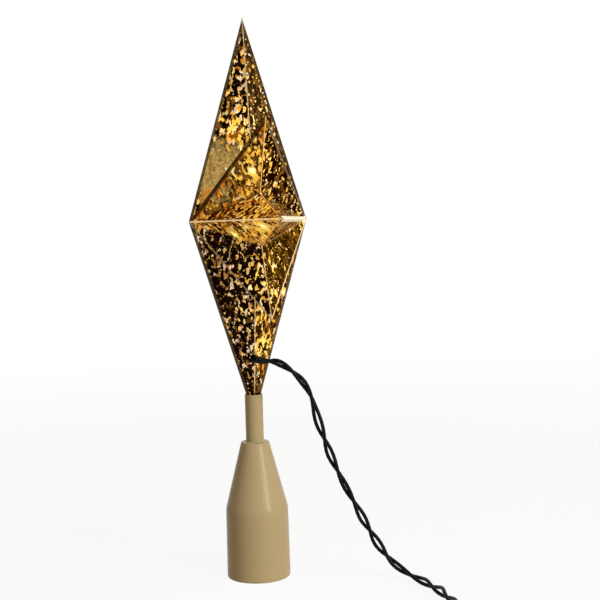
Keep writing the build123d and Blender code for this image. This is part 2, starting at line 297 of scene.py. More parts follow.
def arc_lengths(line: np.ndarray) -> np.ndarray:
    """How far along a line each of its points lies."""
    return np.concatenate([[0.0], np.cumsum(np.linalg.norm(np.diff(line, axis=0), axis=1))])


def add_object(name: str, data: bpy.types.ID) -> Object:
    """Put a new object into the scene.

    Args:
        name: its name.
        data: its mesh, camera or light.

    Returns:
        The object.
    """
    made = bpy.data.objects.new(name, data)
    bpy.context.scene.collection.objects.link(made)
    return made


def dress(material: Material, *nodes: str) -> None:
    """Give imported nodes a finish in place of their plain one.

    Args:
        material: the finish.
        nodes: the nodes' names.
    """
    for name in nodes:
        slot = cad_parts[name].material_slots[0]
        slot.link = "OBJECT"
        slot.material = material
        LOG.info("%s: %s", name, material.name)


class Sheet:
    """Faces and points of one mesh, gathered from grids of points."""

    def __init__(self) -> None:
        """Start with nothing."""
        self.points: list[np.ndarray] = []
        self.faces: list[list[int]] = []
        self.uvs: list[np.ndarray] = []
        self.count = 0

    def add_grid(self, grid: np.ndarray, caps: bool = True) -> None:
        """Add a surface given as rows of points, each row a ring.

        Faces join row r to row r + 1 and column c to column c + 1, and the last column to the first. A cap
        is the ring's own polygon.

        Args:
            grid: points, as rows by columns by 3.
            caps: whether the first and last rings are closed by a face.
        """
        rows, columns = grid.shape[:2]
        row, column = np.meshgrid(np.arange(rows - 1), np.arange(columns), indexing="ij")
        here, after = row * columns, (column + 1) % columns
        ahead = here + columns
        corners = [here + column, here + after, ahead + after, ahead + column]
        quads = np.stack(corners, axis=-1).reshape(-1, 4) + self.count
        across = np.stack([column, column + 1, column + 1, column], axis=-1) / columns
        along = arc_lengths(grid.mean(axis=1))[np.stack([row, row, row + 1, row + 1], axis=-1)]
        self.uvs.append(np.stack([across, along], axis=-1).reshape(-1, 2))
        self.faces.extend(quads.tolist())
        if caps:
            first = np.arange(columns)[::-1] + self.count
            last = np.arange(columns) + self.count + (rows - 1) * columns
            self.faces.extend([first.tolist(), last.tolist()])
            self.uvs.append(np.zeros((2 * columns, 2)))
        self.points.append(grid.reshape(-1, 3))
        self.count += rows * columns

    def build(self, name: str, material: Material, slot: str) -> Object:
        """Make the mesh object, dress it and let it ride on the star.

        Args:
            name: the piece's name.
            material: its finish.
            slot: the record's material slot; not used.

        Returns:
            The new object.
        """
        mesh = bpy.data.meshes.new(name)
        mesh.from_pydata(np.concatenate(self.points), [], self.faces)
        layer = mesh.uv_layers.new(name="Along")
        layer.data.foreach_set("uv", np.concatenate(self.uvs).astype(np.float32).ravel())
        mesh.polygons.foreach_set("use_smooth", np.ones(len(mesh.polygons), dtype=bool))
        mesh.materials.append(material)
        piece = add_object(name, mesh)
        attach(piece, STAR_BODY)
        LOG.info("%s: %d points, %d faces", name, self.count, len(self.faces))
        return piece


@dataclass(frozen=True)
class StarForm:
    """Sizes of the star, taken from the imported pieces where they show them."""

    centre: Vector
    upright_arm: float
    side_arm: float
    foot: float
    diagonal_arm: float = 0.0665
    valley: float = 0.0323
    arms: int = 8

    @classmethod
    def measured(cls) -> "StarForm":
        """Read the star as it was packed: its carrier's middle is its centre.

        Returns:
            The sizes.
        """
        low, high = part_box("lamp_carrier")
        centre = (low + high) / 2
        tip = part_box("star_front_shell")[1]
        neck_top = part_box("socket_base")[1].z
        return cls(centre, tip.z - centre.z, tip.x, centre.z - neck_top)

    @property
    def lowest(self) -> int:
        """Number of the lowest tip in the outline."""
        return 3 * self.arms // 2

    def outline(self) -> np.ndarray:
        """Tips and valleys in turn, from +X towards +Z, as x and z from the centre.

        Point k lies at k times half an arm's step, at the arm's reach for even k and at the valley for
        odd k.

        Returns:
            Sixteen points.
        """
        reaches = [self.side_arm, self.diagonal_arm, self.upright_arm, self.diagonal_arm] * 2
        radius = np.stack([reaches, np.full(self.arms, self.valley)], axis=1).ravel()
        angle = round_angles(2 * self.arms)
        return np.stack([radius * np.cos(angle), radius * np.sin(angle)], axis=1)

    def open_outline(self) -> np.ndarray:
        """The outline without its lowest tip, from the valley on the tip's +X side round to the other."""
        return np.roll(self.outline(), -self.lowest - 1, axis=0)[:-1]

    def low_edge(self, drop: float, side: int) -> np.ndarray:
        """Find a point on an edge of the lowest arm.

        Args:
            drop: how far it lies below the centre.
            side: 1 for the edge towards +X and -1 for the other.

        Returns:
            Its x and z from the centre.
        """
        tip, valley = self.outline()[self.lowest : self.lowest + 2]
        share = (drop + tip[1]) / (tip[1] - valley[1])
        return np.array([side * valley[0] * share, -drop])


class StarFold(Effect):
    """Group that folds the star onto one arm.

    The turn goes from 0 on the top arm to 1 on the lowest, on either side. The fold is the angle from the
    nearest arm's ridge, so the ridge lies at radius times its sine, and the valley likewise from the other
    end of the half step.
    """

    def __init__(self, form: StarForm) -> None:
        """Build the group.

        Args:
            form: the star's sizes.
        """
        names = ["Turn", "Ridge", "Valley", "Seam", "Along", "Front"]
        super().__init__("StarFold", {"Place": ORIGIN}, names)
        x, y, z = self.split(self.vector("SUBTRACT", self.given["Place"], tuple(form.centre)))
        turn = self.math("DIVIDE", self.math("ARCTAN2", self.math("ABSOLUTE", x), z), math.pi)
        arm = self.times(turn, form.arms / 2)
        off_arm = self.math("ABSOLUTE", self.less(arm, self.math("ROUND", arm)))
        fold = self.times(off_arm, TURN / form.arms)
        to_valley = self.less(math.pi / form.arms, fold)
        radius = self.vector("LENGTH", self.join(x, 0.0, z))
        self.put(
            Turn=turn,
            Ridge=self.times(radius, self.math("SINE", fold)),
            Valley=self.times(radius, self.math("SINE", to_valley)),
            Seam=self.math("ABSOLUTE", y),
            Along=self.times(radius, self.math("COSINE", fold)),
            Front=self.math("LESS_THAN", y, 0.0),
        )


class LampGlow(Effect):
    """Group for the light of the ten lamps: a bell curve of the distance to the nearest lamp's body."""

    ARM_LAMP: Range = (0.027, 0.046)
    APEX_LAMP: Range = (0.008, 0.020)

    def __init__(self) -> None:
        """Build the group, with a lamp along the arm and one along the star's axis."""
        super().__init__("LampGlow", {"Ridge": 0.0, "Seam": 0.0, "Along": 0.0, "Reach": 0.01}, ["Glow"])
        ridge, seam, along, reach = [self.given[name] for name in ("Ridge", "Seam", "Along", "Reach")]
        arm_lamp = self.away(along, self.ARM_LAMP, ridge, seam)
        apex_lamp = self.away(seam, self.APEX_LAMP, along, ridge)
        share = self.math("DIVIDE", self.math("MINIMUM", arm_lamp, apex_lamp), reach)
        self.put(Glow=self.math("EXPONENT", self.times(share, share, -1.0)))

    def away(self, run: Socket, ends: Range, aside: Socket, other: Socket) -> Socket:
        """Distance to a lamp that lies along a run between two ends."""
        nearest = self.math("MINIMUM", self.most(run, ends[0]), ends[1])
        return self.vector("LENGTH", self.join(self.less(run, nearest), aside, other))


class CoatFlecks(Effect):
    """Group for the wear of the mirror coat: soft veils, crisp spatters and dots.

    A veil or a spatter is where its fractal noise, drawn out upwards, passes a level, which falls as its
    share grows, and a broad cloud gathers the spatters. Dots are the middles of small cells, of uneven
    size. The tone is part noise and part one value for each flake, and the depth and the hue are two more
    such values.
    """

    DRAWN_OUT: Point = (1.0, 1.0, 0.65)
    VEIL_SHIFT: Point = (0.31, 0.17, 0.23)
    LEVELS: Range = (0.665, 0.335)
    VEILS = Grain(320.0, 4.0, 0.62, 0.3)
    VEIL_RIM: Range = (-0.03, 0.03)
    SPATTERS = Grain(520.0, 3.0, 0.5, 0.25)
    SPATTER_RIM: Range = (0.0, 0.015)
    CLOUDS = Grain(80.0)
    CLOUD_PULL: Range = (0.10, -0.10)
    DOT_SCALE = 620.0
    DOT_REACH = 0.9
    DOT_LEAST = 0.08
    DOT_RIM: Range = (0.0, 0.08)
    FLAKE_SCALE = 460.0
    FLAKE_TONE: Range = (-0.12, 0.67)
    CASTS = Grain(300.0)
    CAST_RIM: Range = (0.33, 0.67)
    CAST_TONE = 0.45

    def __init__(self) -> None:
        """Build the group."""
        names = {"Place": ORIGIN, "Veil": 0.5, "Share": 0.3, "Dots": 0.5}
        super().__init__("CoatFlecks", names, ["Veil", "Fleck", "Tone", "Depth", "Hue"])
        place = self.given["Place"]
        drawn = self.vector("MULTIPLY", place, self.DRAWN_OUT)
        worn = self.noise(self.vector("ADD", drawn, self.VEIL_SHIFT), self.VEILS)
        veil_level = self.spread(self.given["Veil"], *self.LEVELS)
        gathered = self.spread(self.noise(place, self.CLOUDS), *self.CLOUD_PULL)
        level = self.plus(self.spread(self.given["Share"], *self.LEVELS), gathered)
        spatter = self.step(self.less(self.noise(drawn, self.SPATTERS), level), *self.SPATTER_RIM)
        cells = self.cells(place, self.DOT_SCALE)
        size = self.times(self.split(cells["Color"])[0], self.given["Dots"], self.DOT_REACH)
        reach = self.less(size, self.DOT_LEAST)
        dot = self.step(self.less(reach, cells["Distance"]), *self.DOT_RIM)
        chance, depth, hue = self.split(self.cells(drawn, self.FLAKE_SCALE)["Color"])
        cast = self.step(self.noise(place, self.CASTS), *self.CAST_RIM)
        self.put(
            Veil=self.step(self.less(worn, veil_level), *self.VEIL_RIM),
            Fleck=self.most(spatter, dot),
            Tone=self.plus(self.times(cast, self.CAST_TONE), self.spread(chance, *self.FLAKE_TONE)),
            Depth=depth,
            Hue=hue,
        )


class MouldedGrain(Effect):
    """Group for a moulded surface: broad flow clouds, fine pits and a few paler scuffs.

    The pits have the given scale, and the clouds and scuffs a share of it.
    """

    FLOW = Grain(0.05, 3.0, 0.55, 0.4)
    PITS = Grain(1.0, 3.0, 0.6)
    SCUFFS = Grain(0.3, 4.0, 0.7)
    SCUFF_RIM: Range = (0.66, 0.8)

    def __init__(self) -> None:
        """Build the group."""
        super().__init__("MouldedGrain", {"Place": ORIGIN, "Scale": 900.0}, ["Flow", "Pits", "Scuff"])
        place = self.vector("MULTIPLY", self.given["Place"], self.given["Scale"])
        self.put(
            Flow=self.noise(place, self.FLOW),
            Pits=self.noise(place, self.PITS),
            Scuff=self.step(self.noise(place, self.SCUFFS), *self.SCUFF_RIM),
        )


class Effects:
    """The node groups that the finishes share."""

    def __init__(self, form: StarForm) -> None:
        """Build each group once.

        Args:
            form: the star's sizes.
        """
        self.form = form
        self.fold = StarFold(form)
        self.glow = LampGlow()
        self.flecks = CoatFlecks()
        self.grain = MouldedGrain()


@dataclass(frozen=True)
class MouldedPlastic:
    """A moulded plastic: one colour with flow clouds, fine pits and pale scuffs."""

    name: str
    colour: Colour
    shade: Colour
    rough: float
    grain: float = 900.0
    specular: float = 0.5
    rough_swing: float = 0.06
    scuff_gain: float = 1.25
    scuff_lift: float = 0.02
    scuff_cover: float = 0.5
    pit_relief: Range = (0.35, 0.00004)

    def material(self, effects: Effects) -> Material:
        """Build the material.

        Args:
            effects: the shared node groups.

        Returns:
            The material.
        """
        paint = Paint(self.name)
        grain = effects.grain.place_in(paint, Place=paint.object_place(), Scale=self.grain)
        clouded = paint.mix(grain["Flow"], self.shade, self.colour)
        scuffed = tuple(min(1.0, self.scuff_gain * part + self.scuff_lift) for part in self.colour)
        rough = (self.rough - self.rough_swing, self.rough + self.rough_swing)
        return paint.finish(
            Base_Color=paint.mix(paint.times(grain["Scuff"], self.scuff_cover), clouded, scuffed),
            Roughness=paint.spread(grain["Flow"], *rough),
            Specular_IOR_Level=self.specular,
            Normal=paint.bump(grain["Pits"], self.pit_relief),
        )


@dataclass(frozen=True)
class WireJacket:
    """Soft insulation, with fine drawn lines that run along the wire."""

    name: str
    colour: Colour
    sheen: Colour
    rough: Range = (0.32, 0.52)
    specular: float = 0.07
    around_and_along: Point = (24.0, 60.0, 0.0)
    lines: Grain = Grain(1.0, 3.0)
    line_relief: Range = (0.2, 0.00005)
    scuff_scale: float = 1500.0

    def material(self, effects: Effects) -> Material:
        """Build the material.

        Args:
            effects: the shared node groups.

        Returns:
            The material.
        """
        paint = Paint(self.name)
        unrolled = paint.add("ShaderNodeTexCoord").outputs["UV"]
        drawn = paint.noise(paint.vector("MULTIPLY", unrolled, self.around_and_along), self.lines)
        grain = effects.grain.place_in(paint, Place=paint.object_place(), Scale=self.scuff_scale)
        return paint.finish(
            Base_Color=paint.mix(grain["Scuff"], paint.mix(drawn, self.colour, self.sheen), self.sheen),
            Roughness=paint.spread(drawn, *self.rough),
            Specular_IOR_Level=self.specular,
            Normal=paint.bump(drawn, self.line_relief),
        )


@dataclass(frozen=True)
class RolledBrass:
    """Rolled contact brass, with lengthwise roll marks and a little tarnish."""

    name: str
    colour: Colour
    tarnish: Colour
    rough: Range = (0.22, 0.4)
    lengthwise: Point = (6.0, 0.3, 6.0)
    marks: Grain = Grain(900.0, 3.0)
    mark_relief: Range = (0.15, 0.00003)
    tarnish_scale: float = 1200.0

    def material(self, effects: Effects) -> Material:
        """Build the material.

        Args:
            effects: the shared node groups.

        Returns:
            The material.
        """
        paint = Paint(self.name)
        place = paint.object_place()
        rolled = paint.noise(paint.vector("MULTIPLY", place, self.lengthwise), self.marks)
        grain = effects.grain.place_in(paint, Place=place, Scale=self.tarnish_scale)
        return paint.finish(
            Base_Color=paint.mix(grain["Flow"], self.tarnish, self.colour),
            Roughness=paint.spread(rolled, *self.rough),
            Metallic=1.0,
            Normal=paint.bump(rolled, self.mark_relief),
        )


@dataclass(frozen=True)
class LampGlass:
    """Clear lamp glass with a warm heart and a few seeds in it."""

    name: str
    tint: Colour
    heart: Colour
    seed_scale: float = 1400.0
    glow: float = 0.6
    rough: float = 0.06
    clear: float = 0.6

    def material(self, effects: Effects) -> Material:
        """Build the material.

        Args:
            effects: the shared node groups.

        Returns:
            The material.
        """
        paint = Paint(self.name)
        grain = effects.grain.place_in(paint, Place=paint.object_place(), Scale=self.seed_scale)
        return paint.finish(
            Base_Color=paint.mix(grain["Flow"], self.tint, WHITE),
            Emission_Color=paint.mix(grain["Flow"], self.heart, self.tint),
            Emission_Strength=self.glow,
            Roughness=self.rough,
            Transmission_Weight=self.clear,
        )


@dataclass(frozen=True)
class SeamGlue:
    """Clear glue in the seam that carries the lamps' light, cream or amber by the arm that it is on."""

    name: str
    by_facet: tuple[Colour, ...] = (
        (0.66, 0.52, 0.30),
        (0.78, 0.42, 0.09),
        (0.78, 0.42, 0.09),
        (0.80, 0.30, 0.03),
        (0.80, 0.30, 0.03),
        (0.90, 0.64, 0.32),
        (0.88, 0.58, 0.24),
        (0.86, 0.60, 0.30),
    )
    shade: Colour = (0.50, 0.24, 0.05)
    glow: float = 0.3
    rough: Range = (0.2, 0.4)
    specular: float = 0.2
    lumps: Grain = Grain(420.0, 3.0, 0.6)
    lump_shade: Range = (0.4, 0.7)
    lump_relief: Range = (0.3, 0.0001)
    flow_scale: float = 1600.0

    def material(self, effects: Effects) -> Material:
        """Build the material.

        Args:
            effects: the shared node groups.

        Returns:
            The material.
        """
        paint = Paint(self.name)
        place = paint.object_place()
        turn = effects.fold.place_in(paint, Place=place)["Turn"]
        flow = effects.grain.place_in(paint, Place=place, Scale=self.flow_scale)["Flow"]
        lumps = paint.noise(place, self.lumps)
        shaded = paint.step(lumps, *self.lump_shade)
        colour = paint.mix(shaded, paint.ramp(turn, self.by_facet), self.shade)
        return paint.finish(
            Base_Color=colour,
            Emission_Color=paint.mix(self.glow, BLACK, colour),
            Emission_Strength=1.0,
            Roughness=paint.spread(flow, *self.rough),
            Specular_IOR_Level=self.specular,
            Normal=paint.bump(lumps, self.lump_relief),
        )


@dataclass(frozen=True)
class Coat:
    """A mirror coat's colour, partly painted reflection, and how far its mottles go towards black."""

    colour: Colour
    deep: float


@dataclass(frozen=True)
class FacetTone:
    """How one facet answers.

    The veil is the share where the coat is worn thin, the flecks and dots are where it is bare, the warmth
    is how far their hue goes from cream to amber, and the ridge is how bright the facet's ridge line is.
    The veil, the warmth and the ridge are partly painted lamp light, higher on the facets by the lamps.
    """

    coat: Coat
    veil: float
    flecks: float
    dots: float
    warmth: float
    ridge: float


@dataclass(frozen=True)
class Spot:
    """A round place on both sides of the star, from its centre, with its reach."""

    place: Point
    reach: float


# Painted reflection: each facet's coat colour stands in for what its mirror reflects, over the coat's own
# dark bronze. The red and tan coats lie on the side arms, by their lamps, whose light is painted in too.
BLACK_COAT = Coat((0.0140, 0.0038, 0.0009), 0.90)
UMBER_COAT = Coat((0.050, 0.017, 0.0022), 0.65)
TAUPE_COAT = Coat((0.046, 0.021, 0.0032), 0.40)
RED_REFLECTION_COAT = Coat((0.125, 0.036, 0.0014), 0.55)
TAN_REFLECTION_COAT = Coat((0.175, 0.062, 0.0070), 0.25)
DARK_REFLECTION_COAT = Coat((0.0150, 0.0062, 0.0019), 0.60)


@dataclass(frozen=True)
class MirrorFleck:
    """Dark mirror coat: worn veils, bare flecks in painted lamp light, painted reflections, fine edge
    lines.

    The tones run from the top arm's facet to the lowest arm's, eight to a side. A core is the share of a
    spot's reach that is full. A pair of numbers is the two ends of a step or of what it gives, but a
    relief is a bump's strength and depth.
    """

    name: str
    front: tuple[FacetTone, ...] = (
        FacetTone(BLACK_COAT, 0.22, 0.40, 0.40, 0.45, 0.05),
        FacetTone(UMBER_COAT, 0.40, 0.34, 0.40, 0.60, 0.0),
        FacetTone(UMBER_COAT, 0.50, 0.42, 0.44, 0.72, 0.0),
        FacetTone(RED_REFLECTION_COAT, 1.00, 0.40, 0.45, 0.80, 1.0),
        FacetTone(RED_REFLECTION_COAT, 1.00, 0.58, 0.48, 0.76, 1.0),
        FacetTone(BLACK_COAT, 0.20, 0.27, 0.48, 0.35, 0.3),
        FacetTone(BLACK_COAT, 0.20, 0.26, 0.48, 0.30, 0.3),
        FacetTone(BLACK_COAT, 0.18, 0.25, 0.52, 0.14, 0.05),
    )
    back: tuple[FacetTone, ...] = (
        FacetTone(TAUPE_COAT, 0.47, 0.10, 0.62, 0.22, 0.05),
        FacetTone(TAUPE_COAT, 0.42, 0.20, 0.55, 0.42, 0.2),
        FacetTone(DARK_REFLECTION_COAT, 0.34, 0.19, 0.55, 0.40, 0.2),
        FacetTone(TAN_REFLECTION_COAT, 1.00, 0.20, 0.45, 0.75, 0.7),
        FacetTone(TAN_REFLECTION_COAT, 1.00, 0.30, 0.50, 0.80, 0.7),
        FacetTone(TAUPE_COAT, 0.44, 0.13, 0.50, 0.45, 0.8),
        FacetTone(TAUPE_COAT, 0.45, 0.18, 0.50, 0.50, 0.8),
        FacetTone(UMBER_COAT, 0.44, 0.33, 0.46, 0.62, 0.1),
    )
    # Painted reflection: a pale patch where the mirror shows the pale surroundings, with fewer flecks in
    # it.
    reflection_patches: tuple[Spot, ...] = (Spot((0.0045, -0.0150, 0.0240), 0.0185),)
    reflection_core: float = 0.55
    amber_patches: tuple[Spot, ...] = (
        Spot((0.0062, -0.0066, 0.0430), 0.0060),
        Spot((0.0034, -0.0205, 0.0125), 0.0058),
        Spot((0.0560, 0.0030, 0.0050), 0.0100),
        Spot((0.0440, -0.0012, 0.0440), 0.0042),
    )
    amber_core: float = 0.3
    # Painted lamp light: bright spots where the lamps shine through the coat, each with a halo.
    lamp_light_spots: tuple[Spot, ...] = (
        Spot((0.0322, -0.0039, 0.0233), 0.0023),
        Spot((0.0516, -0.0039, -0.0030), 0.0022),
        Spot((0.0219, -0.0113, -0.0067), 0.0020),
    )
    lamp_light_core: float = 0.35
    # Painted light of a lamp low in the lowest arm.
    low_lamp_spots: tuple[Spot, ...] = (Spot((0.0035, 0.0054, -0.0625), 0.0026),)
    low_lamp_core: float = 0.2
    halo: float = 3.2
    fray: Range = (0.2, 1.8)
    shallow_fleck: Colour = (0.46, 0.31, 0.17)
    shallow_warm_fleck: Colour = (0.68, 0.54, 0.36)
    full_fleck: Colour = (1.10, 1.10, 1.10)
    full_back_fleck: Colour = (0.86, 0.86, 0.86)
    full_depth: float = 0.9
    rosy: Colour = (1.05, 0.86, 0.92)
    olive: Colour = (0.92, 1.06, 0.92)
    # Colours of the painted reflection patch.
    pale: Colour = (0.52, 0.34, 0.110)
    pale_shade: Colour = (0.28, 0.160, 0.036)
    # Colours of the painted lamp light in the bare flecks, from amber to cream.
    shades: tuple[Colour, ...] = (
        (0.34, 0.090, 0.002),
        (0.74, 0.260, 0.006),
        (0.94, 0.560, 0.040),
        (0.93, 0.640, 0.180),
        (0.90, 0.690, 0.400),
        (0.97, 0.850, 0.720),
    )
    warmth_shift: Range = (0.42, -0.34)
    darkest: Colour = (0.0008, 0.0005, 0.0004)
    line_shadow: Colour = (0.016, 0.007, 0.002)
    rim: Colour = (0.36, 0.105, 0.005)
    cream: Colour = (0.90, 0.70, 0.42)
    amber: Colour = (0.62, 0.21, 0.010)
    # Painted lamp light: fleck colours near the lamps and in the low lamp's glow, and the spots' white.
    hot: Colour = (1.0, 0.69, 0.11)
    straw: Colour = (0.92, 0.70, 0.15)
    lamp_light_white: Colour = (1.0, 0.86, 0.40)
    thin_cool: Colour = (0.200, 0.097, 0.027)
    thin_warm: Colour = (0.30, 0.112, 0.009)
    # Bright ridge lines: bare edges of the coat with a painted highlight, cream in the lamps' painted
    # light.
    edge: Colour = (0.86, 0.63, 0.30)
    # Painted highlight: the pale strip on the +X arm's back ridge.
    strip: Colour = (0.88, 0.78, 0.55)
    grazing_tint: Colour = (0.60, 0.40, 0.22)
    mottles: Grain = Grain(620.0, 3.0, 0.6)
    clouds: Grain = Grain(170.0, 3.0)
    ragged: Grain = Grain(800.0, 3.0, 0.7)
    glow_reach: float = 0.0115
    glow_heat: float = 0.45
    low_lamp_tint: float = 0.8
    glow_lit_flecks: float = 0.12
    halo_lit_flecks: float = 0.24
    low_lamp_lit_flecks: float = 0.10
    reflection_fleck_cut: float = 0.32
    thin_cover: float = 0.6
    mottled: Range = (0.36, 0.62)
    amber_breaks: Range = (0.38, 0.60)
    amber_cover: Range = (0.85, 0.25)
    ridge_line: Range = (0.000429, 0.000231)
    valley_line: Range = (0.000297, 0.000099)
    dark_line: float = 0.00085
    dim_line: float = 0.00050
    dark_to_dim: Range = (0.01, 0.05)
    bright_to_dim: Range = (0.3, 0.1)
    valley_cover: float = 0.4
    line_cover: Range = (0.8, 1.0)
    rim_reach: float = 0.0022
    rim_breaks: Range = (0.47, 0.56)
    # Size and place of the painted highlight strip.
    strip_half_width: float = 0.0013
    strip_start: float = 0.0012
    strip_end: float = 0.0610
    strip_rim: float = 0.0001
    rough: Range = (0.16, 0.42)
    fleck_light: Range = (0.25, 0.75)
    line_light: float = 0.55
    specular: float = 0.15
    fleck_relief: Range = (0.2, 0.00008)

    def material(self, effects: Effects) -> Material:
        """Material of the coat, with the shared node groups."""
        return MirrorPaint(self, effects).laid_on()


class MirrorPaint(Paint):
    """The mirror coat's graph: where a point lies on the star, how its facet answers, and what it shows."""

    def __init__(self, look: MirrorFleck, effects: Effects) -> None:
        """Find the place, its facet's tone, the lamps' painted light, the painted reflection and the wear.

        Args:
            look: the coat's colours and measures.
            effects: the shared node groups.
        """
        super().__init__(look.name)
        self.look = look
        place = self.object_place()
        self.fold = effects.fold.place_in(self, Place=place)
        self.x, self.y, self.z = self.split(self.vector("SUBTRACT", place, tuple(effects.form.centre)))
        self.mirrored = self.join(self.math("ABSOLUTE", self.x), self.y, self.z)
        self.mottle = self.noise(place, look.mottles)
        self.broad = self.noise(place, look.clouds)
        habit = self.by_facet(lambda tone: (tone.veil, tone.flecks, tone.dots))
        manner = self.by_facet(lambda tone: (tone.warmth, tone.ridge, tone.coat.deep))
        veil, flecks, dots = self.split(habit)
        self.warmth, self.ridge, self.deep = self.split(manner)
        to_lamp = {name: self.fold[name] for name in ("Ridge", "Seam", "Along")}
        self.glow = effects.glow.place_in(self, Reach=look.glow_reach, **to_lamp)["Glow"]
        # Where the painted reflection lies.
        self.reflection_patch = self.spots(look.reflection_patches, look.reflection_core, self.broad)
        self.amber_patch = self.spots(look.amber_patches, look.amber_core, self.broad)
        # Painted lamp light: spots by the lamps, their halos, and the glow of the low lamp.
        self.hot = self.spots(look.lamp_light_spots, look.lamp_light_core, self.noise(place, look.ragged))
        self.halo = self.spots(look.lamp_light_spots, 0.0, self.broad, look.halo)
        self.warm = self.spots(look.low_lamp_spots, look.low_lamp_core, self.broad, look.halo)
        # More bare flecks show where the painted lamp light falls, and fewer in the painted reflection.
        share = self.plus(
            self.less(flecks, self.times(self.reflection_patch, look.reflection_fleck_cut)),
            self.times(self.glow, look.glow_lit_flecks),
            self.times(self.halo, look.halo_lit_flecks),
            self.times(self.warm, look.low_lamp_lit_flecks),
        )
        self.wear = effects.flecks.place_in(self, Place=place, Veil=veil, Share=share, Dots=dots)

    def by_facet(self, pick: Callable[[FacetTone], Colour]) -> Socket:
        """Choose a colour by facet, from the front's row or the back's.

        Args:
            pick: gives a tone's colour or habit.

        Returns:
            The colour's socket.
        """
        front = self.ramp(self.fold["Turn"], [pick(tone) for tone in self.look.front])
        back = self.ramp(self.fold["Turn"], [pick(tone) for tone in self.look.back])
        return self.mix(self.fold["Front"], back, front)

    def spots(self, spots: tuple[Spot, ...], core: float, ragged: Socket, scale: float = 1.0) -> Socket:
        """Mask round places with ragged rims, the same on both sides of the star.

        Args:
            spots: the places.
            core: the share of a spot's reach that is full.
            ragged: noise that frays the rim.
            scale: what the spots' reaches are multiplied by.

        Returns:
            The mask's socket.
        """
        fray = self.spread(ragged, *self.look.fray)
        masks = []
        for spot in spots:
            distance = self.times(self.vector("DISTANCE", self.mirrored, spot.place), fray)
            masks.append(self.step(self.math("DIVIDE", distance, scale * spot.reach), 1.0, core))
        return self.most(*masks)

    def coat(self) -> Socket:
        """Colour the coat: mottled to black, thin in veils, amber in patches, pale in painted reflections.

        Returns:
            The colour's socket.
        """
        look = self.look
        coat = self.by_facet(lambda tone: tone.coat.colour)
        mottled = self.step(self.mottle, *look.mottled)
        thin = self.mix(self.warmth, look.thin_cool, look.thin_warm)
        thin = self.mix(self.spread(self.mottle, 0.0, look.thin_cover), thin, coat)
        coat = self.mix(self.times(mottled, self.deep), coat, look.darkest)
        coat = self.mix(self.wear["Veil"], coat, thin)
        # Painted reflection of the pale surroundings, mottled.
        coat = self.mix(self.reflection_patch, coat, self.mix(mottled, look.pale, look.pale_shade))
        broken = self.spread(self.step(self.mottle, *look.amber_breaks), *look.amber_cover)
        return self.mix(self.times(self.amber_patch, broken), coat, look.amber)

    def bare(self) -> Socket:
        """Colour the bare flecks in painted lamp light: cream to amber by their facet, hotter near the
        lamps.

        Returns:
            The colour's socket.
        """
        look = self.look
        tone = self.plus(self.wear["Tone"], self.spread(self.warmth, *look.warmth_shift))
        shallow = self.mix(self.warmth, look.shallow_fleck, look.shallow_warm_fleck)
        full = self.mix(self.fold["Front"], look.full_back_fleck, look.full_fleck)
        strength = self.mix(self.step(self.wear["Depth"], 0.0, look.full_depth), shallow, full)
        hue = self.mix(self.wear["Hue"], look.rosy, look.olive)
        bare = self.mix(1.0, self.ramp(tone, look.shades, Row.SHADES), strength, Blend.TIMES)
        bare = self.mix(1.0, bare, hue, Blend.TIMES)
        bare = self.mix(self.most(self.times(self.glow, look.glow_heat), self.halo), bare, look.hot)
        return self.mix(self.times(self.warm, look.low_lamp_tint), bare, look.straw)

    def lines(self) -> Socket:
        """Mask the fine lines on the ridges, wider where dark, and, fainter, in the valleys.

        Returns:
            The mask's socket.
        """
        look = self.look
        extra = self.spread(self.step(self.ridge, *look.dark_to_dim), look.dark_line, look.dim_line)
        extra = self.times(extra, self.step(self.ridge, *look.bright_to_dim))
        ridge = self.step(self.less(self.fold["Ridge"], extra), *look.ridge_line)
        valley = self.times(self.step(self.fold["Valley"], *look.valley_line), look.valley_cover)
        return self.times(self.most(ridge, valley), self.spread(self.mottle, *look.line_cover))

    def rims(self) -> Socket:
        """Mask the warm rims beside the dark ridge lines, which broad noise breaks up.

        Returns:
            The mask's socket.
        """
        look = self.look
        near = self.step(self.fold["Ridge"], look.rim_reach, look.dark_line)
        dark = self.step(self.ridge, *reversed(look.dark_to_dim))
        return self.times(near, dark, self.step(self.broad, *look.rim_breaks))

    def strip(self) -> Socket:
        """Mask the pale strip along the back ridge of the +X arm, a painted highlight laid in as bare coat.

        Returns:
            The mask's socket.
        """
        look, rim = self.look, self.look.strip_rim
        wide = self.math("ABSOLUTE", self.z)
        return self.times(
            self.step(wide, look.strip_half_width + rim, look.strip_half_width - rim),
            self.math("GREATER_THAN", self.y, 0.0),
            self.step(self.x, look.strip_start - rim, look.strip_start + rim),
            self.step(self.x, look.strip_end + rim, look.strip_end - rim),
        )

    def laid_on(self) -> Material:
        """Lay the coat, flecks, rims, lines, painted lamp spots and painted highlight strip over each
        other.

        Returns:
            The material.
        """
        look, fleck = self.look, self.wear["Fleck"]
        line, strip = self.lines(), self.strip()
        # Bright ridge lines: bare coat edges, with a painted highlight and painted lamp light near the
        # lamps.
        edge = self.mix(self.glow, look.edge, look.cream)
        colour = self.mix(fleck, self.coat(), self.bare())
        colour = self.mix(self.rims(), colour, look.rim)
        colour = self.mix(line, colour, self.mix(self.ridge, look.line_shadow, edge))
        colour = self.mix(self.hot, colour, look.lamp_light_white)
        colour = self.mix(strip, colour, look.strip)
        bright_line = self.times(line, self.ridge)
        open_coat = self.most(fleck, bright_line, self.hot, strip)
